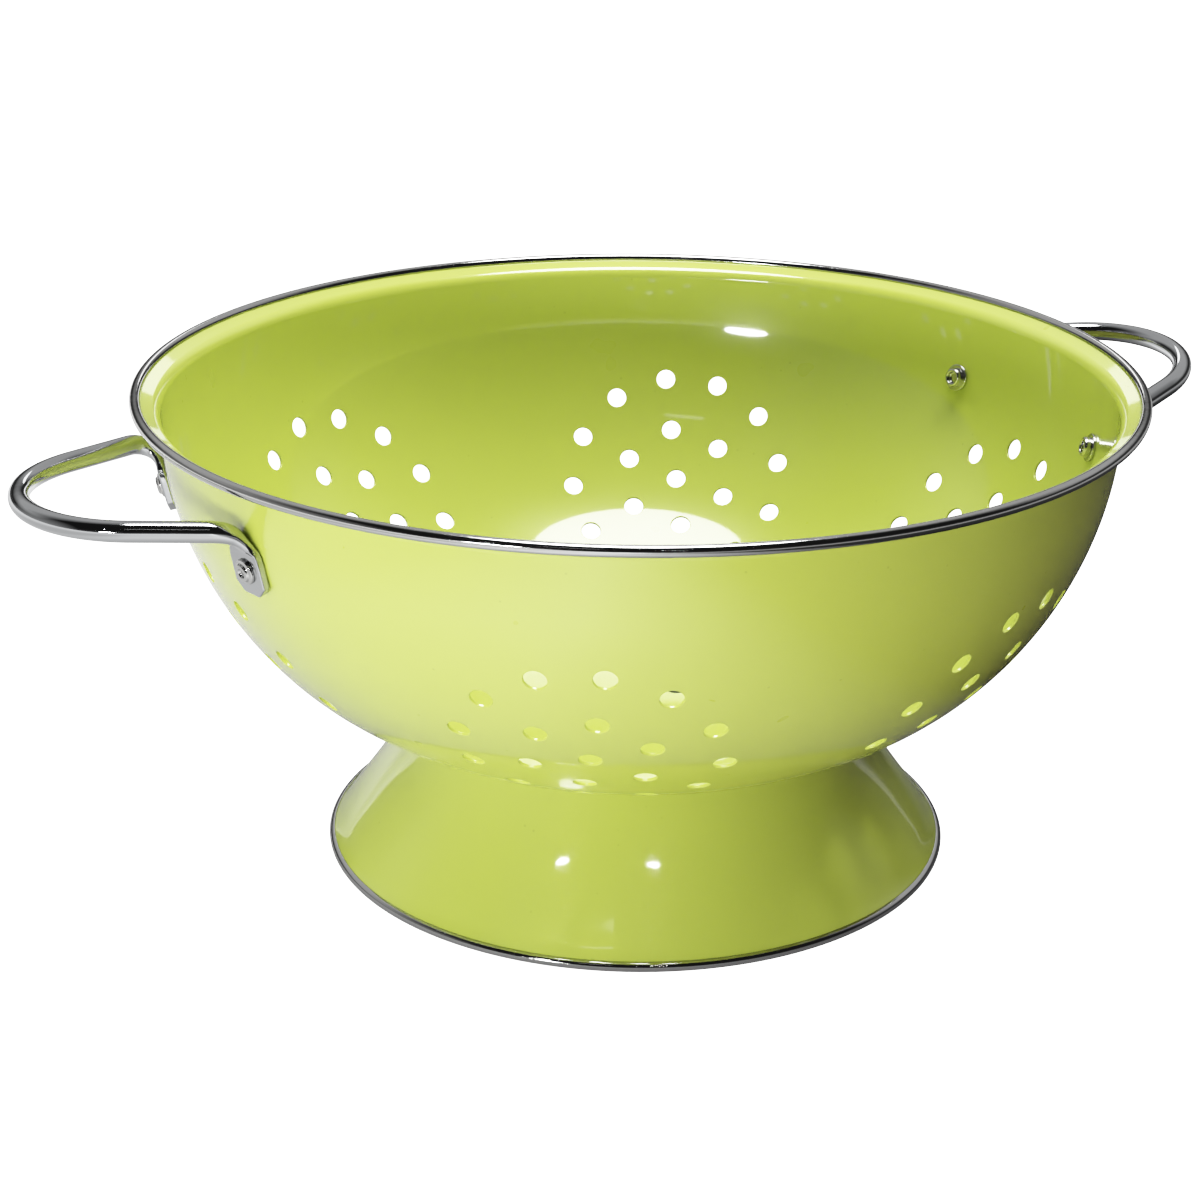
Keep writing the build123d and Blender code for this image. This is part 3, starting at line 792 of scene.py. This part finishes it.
def handle(side):
    az0, half, loop_z, tilt, lean = HANDLES[side]
    k, lean_k = tan(radians(tilt)), tan(radians(lean))
    th = radians(half)
    out_dir = unit(np.array([1, 0, k]))
    along = np.array([0, 1, lean_k])
    along = unit(along - out_dir * (along @ out_dir))
    tip = np.array([REACH, 0, loop_z + k * (REACH - R)])
    centre = tip - out_dir * ARC_R

    def end_rows(s):
        """Half of the handle, from the end of the tab to the tip of the loop:
        centre, tangent, width direction, half width, half thickness, squareness."""
        name = [n_ for n_ in STATIONS if n_.startswith(side) and (((STATIONS[n_][0] - az0 + 180) % 360 - 180) > 0) == (s > 0)][0]
        az_deg, z = STATIONS[name]
        rel = radians((az_deg - az0 + 180) % 360 - 180)
        riv, n, sd, up = rivet_frame(rel, z)
        mid = riv + n * (0.05 + TAB_T / 2)
        e = centre + out_dir * (ARC_R * cos(th)) + along * (s * ARC_R * sin(th))
        dA = out_dir * -sin(th) + along * (s * cos(th))
        run = (e[0] - ARM_END) / -dA[0]
        A = e + dA * run
        T0 = mid + up * (TAB_ABOVE + 0.2)
        h0, h1 = A + dA * BEND_OUT, T0 + up * BEND_DOWN
        bA = out_dir * (cos(th) * s) + along * sin(th)
        if bA @ sd < 0:
            bA = -bA
        rows = []
        rnd = 0.5
        for j in range(6):           # rounded end
            a = pi / 2 * j / 5
            dz = -TAB_BELOW + rnd * (1 - cos(a))
            inset = rnd * (1 - sin(a))
            rows.append((mid + up * dz, up, sd, tab_half_width(dz) - inset, TAB_T / 2 - inset * 0.95, 1.0, 0.5 - 0.35 * (1 - sin(a))))
        for dz in np.linspace(-TAB_BELOW + rnd + 0.2, TAB_ABOVE, 36):
            rows.append((mid + up * dz, up, sd, tab_half_width(dz), TAB_T / 2, 1.0, 0.5))
        us = [0, 0.25, 0.5, 0.7, 0.85, 0.94, 1]
        for j in range(1, 45):
            u = 1 - j / 44
            v = 1 - u
            p = A * v ** 3 + h0 * (3 * v * v * u) + h1 * (3 * v * u * u) + T0 * u ** 3
            d = (h0 - A) * (3 * v * v) + (h1 - h0) * (6 * v * u) + (T0 - h1) * (3 * u * u)
            w = float(np.interp(u, us, [2.9, 2.92, 3.2, 3.9, 4.8, 5.45, 5.75]))
            h = float(np.interp(u, us, [2.9, 2.82, 2.44, 1.87, 1.38, 1.15, 1.1]))
            sq = float(np.interp(u, us, [0, 0, 0.1, 0.35, 0.7, 0.95, 1.0]))
            rc = float(np.interp(u, us, [2.5, 2.5, 2.0, 1.4, 0.9, 0.6, 0.5]))
            rows.append((p, -unit(d), bA * (1 - u) + sd * u, w, h, sq, rc))
        for j in range(1, 15):
            rows.append((A - dA * (run * j / 14), -dA, bA, ROD_R, ROD_R, 0.0, 1.0))
        for j in range(1, 46):
            a = th * (1 - j / 45)
            rows.append((centre + out_dir * (ARC_R * cos(a)) + along * (s * ARC_R * sin(a)), out_dir * sin(a) - along * (s * cos(a)), out_dir * cos(a) * s + along * sin(a), ROD_R, ROD_R, 0.0, 1.0))
        return rows

    # smooth the width and thickness along each half
    halves = []
    for s in (1, -1):
        rows = end_rows(s)
        vals = np.array([[r_[3], r_[4], r_[5], r_[6]] for r_ in rows])
        sm = vals.copy()
        lo, hi = 30, 100
        for _ in range(6):
            q = sm.copy()
            q[lo:hi] = (sm[lo - 1:hi - 1] + 2 * sm[lo:hi] + sm[lo + 1:hi + 1]) / 4
            sm = q
        halves.append([(r_[0], r_[1], r_[2], *sm[i]) for i, r_ in enumerate(rows)])
    full = list(halves[0])
    for p, t, b, w, h, sq, rc in halves[1][::-1][1:]:
        # the second half runs back down: reverse the tangent, keep the frame right-handed
        full.append((p, -t, b, w, h, sq, rc))

    nsec = 4 * NQ
    grid_p = np.zeros((len(full), nsec, 3))
    prev_b = None
    for i, (p, t, b, w, h, sq, rc) in enumerate(full):
        t = unit(t)
        b = unit(b - t * (b @ t))
        if prev_b is not None and b @ prev_b < 0:
            b = -b
        prev_b = b
        m = np.cross(t, b)
        for j, (x, y) in enumerate(section_xy(w, h, sq, rc)):
            grid_p[i, j] = p + b * x + m * y
    # normals from the grid itself
    du = np.roll(grid_p, -1, 1) - np.roll(grid_p, 1, 1)
    dv = np.gradient(grid_p, axis=0)
    nn = np.cross(du, dv)
    ln = np.linalg.norm(nn, axis=2, keepdims=True)
    nn = nn / np.maximum(ln, 1e-12)
    cen = grid_p.mean(1, keepdims=True)
    sign = np.sign(np.sum(nn * (grid_p - cen), axis=2).sum())
    nn *= sign
    faces = []
    rows_n = len(full)
    for i in range(rows_n - 1):
        for j in range(nsec):
            j2 = (j + 1) % nsec
            q = (i * nsec + j, i * nsec + j2, (i + 1) * nsec + j2, (i + 1) * nsec + j)
            faces.append(q if sign > 0 else q[::-1])
    verts = grid_p.reshape(-1, 3).tolist()
    norms = nn.reshape(-1, 3).tolist()
    for row, t in ((0, -unit(full[0][1])), (rows_n - 1, unit(full[-1][1]))):
        c = grid_p[row].mean(0)
        verts.append(c.tolist())
        norms.append(t.tolist())
        ci = len(verts) - 1
        for j in range(nsec):
            j2 = (j + 1) % nsec
            a, b = row * nsec + j, row * nsec + j2
            q = (ci, b, a) if row == 0 else (ci, a, b)
            faces.append(q if sign > 0 else q[::-1])
    rot = np.eye(4)
    a = radians(az0)
    rot[:2, :2] = [[cos(a), -sin(a)], [sin(a), cos(a)]]
    verts, norms = placed(verts, norms, rot)
    return new_mesh("handle_%s_rod" % side, verts, faces, norms, CHROME, ("handle_" + side,))


for side in HANDLES:
    handle(side)

# --------------------------------------------------------- rivets and washers
FACE = 0.05 + TAB_T
HEAD_R, HEAD_H = 3.7, 1.7
DIM_R, DIM_H = 1.3, 0.7
W_R, W_T, W_LIFT = 4.25, 0.9, 0.11
TAIL_R, TAIL_H, BORE_R, BORE_H = 3.0, 2.1, 1.8, 1.3


def rivet_section():
    """One solid from the tail's open end to the raised head; z outwards."""
    wz = -SHEET - W_LIFT - W_T - 0.01
    te = wz - TAIL_H
    f0, top = FACE + 0.02, FACE + 0.02 + HEAD_H
    outline = [
        (0.0, te + BORE_H), (BORE_R - 0.05, te + BORE_H), (BORE_R, te), (TAIL_R - 0.35, te), (TAIL_R, te + 0.75), (TAIL_R, wz),
        (2.0, wz), (2.0, f0),
        (HEAD_R, f0), (HEAD_R - 0.15, f0 + 0.75), (HEAD_R - 1.0, f0 + 1.05), (HEAD_R - 1.35, top), (DIM_R + 0.1, top), (DIM_R - 0.3, top - DIM_H), (0.0, top - DIM_H),
    ]
    radii = [0, 0.35, 0.42, 0.5, 0.5, 0.12, 0, 0, 0.2, 0.42, 0.3, 0.32, 0.16, 0.3, 0]
    return rounded(outline, radii, 5)


def washer_section():
    z0 = -SHEET - W_LIFT - W_T
    return rounded([(2.05, z0), (W_R, z0), (W_R, z0 + W_T), (2.05, z0 + W_T)], [0.05, 0.28, 0.12, 0.05], 5)


for name, (az_deg, z_riv) in STATIONS.items():
    riv, n, sd, up = rivet_frame(radians(az_deg), z_riv)
    m = np.eye(4)
    m[:3, 0], m[:3, 1], m[:3, 2], m[:3, 3] = sd, np.cross(n, sd), n, riv
    v, f, nn = revolve_open(rivet_section(), 64)
    v, nn = placed(v, nn, m)
    new_mesh("rivet_%s_body" % name, v, f, nn, RIVET, ("rivet_%s" % name,))
    v, f, nn = revolve(washer_section(), 64)
    v, nn = placed(v, nn, m)
    new_mesh("washer_%s_ring" % name, v, f, nn, WASHER, ("washer_%s" % name,))

# -------------------------------------------------------------------- stage
scene = bpy.context.scene


def stage_plane(name, size, loc, mat):
    bpy.ops.mesh.primitive_plane_add(size=size, location=loc)
    o = bpy.context.object
    o.name = name
    o.data.materials.append(mat)
    o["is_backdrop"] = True
    return o


# the photograph's own directions: away from the camera and to its right
AWAY = Vector((sin(radians(24)), cos(radians(24)), 0))
RIGHT = Vector((cos(radians(24)), -sin(radians(24)), 0))

# white floor with light and shade painted into it: its colour is painted darker on the right as a painted shadow,
# and the glow it shows in the gloss is a painted reflection, lit on the left, falling away to the right and painted
# darker close to the object, as it shows in the coat
FLOOR_SEEN = 8.0
FLOOR_SHINE = 3.6
FLOOR_SHINE_R = 0.12
FLOOR_NEAR = 0.25
fm, fnt, fb = material("floor_white")
fg = Graph(fnt)
fv = fg.coords()
f_dot = fg.node("ShaderNodeVectorMath", operation="DOT_PRODUCT")
fg.link(fv, f_dot.inputs[0])
f_dot.inputs[1].default_value = RIGHT
f_len = fg.node("ShaderNodeVectorMath", operation="LENGTH")
fg.link(fv, f_len.inputs[0])
f_side = fg.maprange(f_dot.outputs["Value"], -0.05, 0.14, 1.0, 0.0)
fcol = fg.ramp(fg.noise(fv, 3.0, 2.0), [(0.3, (0.80, 0.80, 0.80)), (0.7, (0.83, 0.83, 0.83))])
# painted shadow: the floor's colour turns dark on the right, where the object's shadow falls
fcol = fg.mix(f_side, (0.27, 0.22, 0.20, 1), fcol)
fg.link(fcol, fb.inputs["Base Color"])
fb.inputs["Roughness"].default_value = 0.9
fb.inputs["Specular IOR Level"].default_value = 0.0
# painted shade: the glow seen in the gloss is cut close to the object and towards the far left
f_near = fg.math("MULTIPLY", fg.maprange(f_len.outputs["Value"], 0.09, 0.26, FLOOR_NEAR, 1.0), fg.maprange(f_dot.outputs["Value"], -0.28, -0.05, 0.5, 1.0))
# painted reflection: that glow is brighter on the left and far away and fades to the right
f_shine = fg.math("MULTIPLY", fg.maprange(f_side, 0.0, 1.0, FLOOR_SHINE_R, FLOOR_SHINE), f_near)
f_shine = fg.math("ADD", f_shine, fg.maprange(f_len.outputs["Value"], 0.45, 0.9, 0.0, 1.0))
f_lp = fg.node("ShaderNodeLightPath")
f_glow = fg.node("ShaderNodeEmission")
# the floor glows evenly white for camera rays; for gloss rays its glow is the painted reflection, not a lamp
fg.link(fg.math("ADD", fg.math("MULTIPLY", f_lp.outputs["Is Camera Ray"], FLOOR_SEEN), fg.math("MULTIPLY", f_lp.outputs["Is Glossy Ray"], f_shine)), f_glow.inputs["Strength"])
f_pick = fg.node("ShaderNodeMixShader")
fg.link(fg.math("MAXIMUM", f_lp.outputs["Is Camera Ray"], f_lp.outputs["Is Glossy Ray"]), f_pick.inputs[0])
fg.link(fb.outputs[0], f_pick.inputs[1])
fg.link(f_glow.outputs[0], f_pick.inputs[2])
for nd in fnt.nodes:
    if nd.bl_idname == "ShaderNodeOutputMaterial":
        fg.link(f_pick.outputs[0], nd.inputs[0])
stage_plane("floor", 12.0, (0, 0, 0), fm)

# dark room in what shines, faint fill in what doesn't, white behind
world = bpy.data.worlds.new("studio")
scene.world = world
world.use_nodes = True
wn = world.node_tree
for nd in list(wn.nodes):
    wn.nodes.remove(nd)
wg = Graph(wn)
w_out = wg.node("ShaderNodeOutputWorld")
w_fill = wg.node("ShaderNodeBackground")
w_shine = wg.node("ShaderNodeBackground")
w_cam = wg.node("ShaderNodeBackground")
for nd, val in ((w_fill, 0.01), (w_shine, 0.04), (w_cam, 8.0)):
    nd.inputs["Color"].default_value = (1, 1, 1, 1)
    nd.inputs["Strength"].default_value = val
w_dir = wg.node("ShaderNodeTexCoord")
w_dot = wg.node("ShaderNodeVectorMath", operation="DOT_PRODUCT")
wg.link(w_dir.outputs["Generated"], w_dot.inputs[0])
w_dot.inputs[1].default_value = -RIGHT
w_sep = wg.node("ShaderNodeSeparateXYZ")
wg.link(w_dir.outputs["Generated"], w_sep.inputs[0])
w_low = wg.maprange(w_sep.outputs["Z"], 0.04, 0.22, 0.15, 0.0)
w_rear = wg.node("ShaderNodeVectorMath", operation="DOT_PRODUCT")
wg.link(w_dir.outputs["Generated"], w_rear.inputs[0])
w_rear.inputs[1].default_value = AWAY
w_rise = wg.maprange(w_sep.outputs["Z"], 0.20, 0.42, 0.0, 1.0)
w_low = wg.math("ADD", w_low, wg.math("MULTIPLY", w_rise, wg.maprange(w_rear.outputs["Value"], 0.0, 0.5, 0.0, 1.2)))
wg.link(wg.math("ADD", w_low, wg.maprange(w_dot.outputs["Value"], 0.75, 1.0, 0.04, 0.7)), w_shine.inputs["Strength"])
w_mix1 = wg.node("ShaderNodeMixShader")
w_mix2 = wg.node("ShaderNodeMixShader")
lp = wg.node("ShaderNodeLightPath")
wg.link(lp.outputs["Is Glossy Ray"], w_mix1.inputs[0])
wg.link(w_fill.outputs[0], w_mix1.inputs[1])
wg.link(w_shine.outputs[0], w_mix1.inputs[2])
wg.link(lp.outputs["Is Camera Ray"], w_mix2.inputs[0])
wg.link(w_mix1.outputs[0], w_mix2.inputs[1])
wg.link(w_cam.outputs[0], w_mix2.inputs[2])
wg.link(w_mix2.outputs[0], w_out.inputs[0])

CAM = Vector((-2.0263, -4.5511, 2.4553)) * 0.145

def area(name, direction, dist, sx, sy, power, look=(0, 0, 0.08), color=(1, 1, 1), spread=None, shine=True, fill=True, round_=False):
    """An area light at a direction given as (azimuth from away towards right,
    elevation) in degrees, seen from the object."""
    az, el = radians(direction[0]), radians(direction[1])
    d = AWAY * (cos(az) * cos(el)) + RIGHT * (sin(az) * cos(el)) + Vector((0, 0, sin(el)))
    li = bpy.data.lights.new(name, "AREA")
    li.shape = "ELLIPSE" if round_ else "RECTANGLE"
    li.size, li.size_y = sx, sy
    li.energy = power
    li.color = color
    if spread is not None:
        li.spread = radians(spread)
    o = bpy.data.objects.new(name, li)
    scene.collection.objects.link(o)
    target = Vector(look)
    o.location = target + d * dist
    o.rotation_euler = (-d).to_track_quat("-Z", "Y").to_euler()
    o.visible_glossy = shine
    o.visible_diffuse = fill
    o.visible_camera = False
    return o


def foot_at(x, y, z):
    """A point given in the photograph's directions, in mm."""
    return (RIGHT * x + AWAY * y + Vector((0, 0, z))) * MM


# broad soft lights, kept out of the gloss so that they leave no hard window
area("side_low", (-150, 3), 1.5, 0.5, 0.22, 31, shine=False)
area("front_low", (-172, 3), 1.5, 0.4, 0.22, 27, shine=False)
area("left_low", (-120, 3), 1.5, 0.5, 0.22, 12, shine=False)
area("left_mid", (-130, 18), 1.5, 0.5, 0.5, 6.5, shine=False)
area("left_high", (-130, 45), 1.5, 0.5, 0.5, 6, shine=False)
area("front_high", (180, 40), 1.5, 0.6, 0.6, 2, shine=False)
area("right_high", (90, 50), 1.5, 0.6, 0.6, 4, color=(1.0, 0.86, 0.80), shine=False)
area("right_back", (50, 38), 1.5, 0.5, 0.5, 32, shine=False)
area("left_back", (-45, 38), 1.5, 0.5, 0.5, 25, shine=False)
area("top_back", (0, 74), 1.5, 0.4, 0.4, 50, shine=False)
area("top_right", (90, 74), 1.5, 0.4, 0.4, 54, shine=False)
# windows and strips that only show in the gloss
area("pool", (0, 86), 1.5, 0.90, 0.90, 58, fill=False, round_=True)
area("backdrop_low", (2, 4), 2.0, 1.3, 0.18, 2.0, fill=False, round_=True)
area("backdrop_high", (0, 23), 2.0, 0.3, 0.5, 1.9, fill=False, round_=True)
area("window_a", (-151, 7.5), 1.5, 0.30, 0.065, 8, fill=False, round_=True)
area("window_c", (-165, 40.5), 1.5, 0.26, 0.03, 0.10, fill=False)
area("foot_glint_a", (-146, 36), 1.5, 0.14, 0.012, 0.0022, look=foot_at(-20, -73, 25), spread=5, fill=False)
area("foot_glint_b", (171, 38), 1.5, 0.11, 0.010, 0.0017, look=foot_at(5, -77, 24), spread=5, fill=False)

# ------------------------------------------------------------------- camera
cam_data = bpy.data.cameras.new("camera")
cam_data.sensor_fit = "HORIZONTAL"
cam_data.sensor_width = 36.0
cam_data.lens = 2607.4 / 1200 * 36.0
cam_data.clip_start = 0.01
cam_data.clip_end = 50
cam = bpy.data.objects.new("camera", cam_data)
scene.collection.objects.link(cam)
yaw, pitch, roll = -0.01531, 0.37272, 0.00495
turn = Matrix.Rotation(radians(-24), 3, "Z")
fwd = turn @ Vector((sin(yaw) * cos(pitch), cos(yaw) * cos(pitch), -sin(pitch)))
rgt = turn @ Vector((cos(yaw), -sin(yaw), 0))
upv = rgt.cross(fwd)
r2 = rgt * cos(roll) + upv * sin(roll)
u2 = upv * cos(roll) - rgt * sin(roll)
m3 = Matrix((r2, u2, -fwd)).transposed()
cam.matrix_world = Matrix.Translation(CAM) @ m3.to_4x4()
scene.camera = cam

scene.view_settings.view_transform = "Standard"
scene.view_settings.look = "None"
scene.view_settings.exposure = 0.0
scene.view_settings.gamma = 1.0
# the film curve of the photograph: a soft shoulder that pales what is bright
scene.view_settings.use_curve_mapping = True
film = scene.view_settings.curve_mapping
film.clip_max_x = 6.0
film.clip_max_y = 1.0
film.use_clip = True
fc = film.curves[3]
FILM_C, FILM_P = 0.575, 1.177
top_y = 1 - exp(-FILM_C * 6.0 ** FILM_P)
fc.points[0].location = (0.0, 0.0)
fc.points[-1].location = (6.0, 1.0)
for fx in (0.02, 0.05, 0.1, 0.18, 0.3, 0.45, 0.65, 0.9, 1.2, 1.6, 2.1, 2.7, 3.4, 4.2, 5.1):
    fc.points.new(fx, (1 - exp(-FILM_C * fx ** FILM_P)) / top_y)
film.update()

bpy.context.view_layer.update()


def plain(x):
    if isinstance(x, (str, int, float, bool)) or x is None:
        return x
    if isinstance(x, dict):
        return {str(k): plain(v) for k, v in x.items()}
    try:
        return [plain(v) for v in x]
    except TypeError:
        return str(x)


{"cad": plain(BOUNDS_CAD), "visual": plain(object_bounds())}
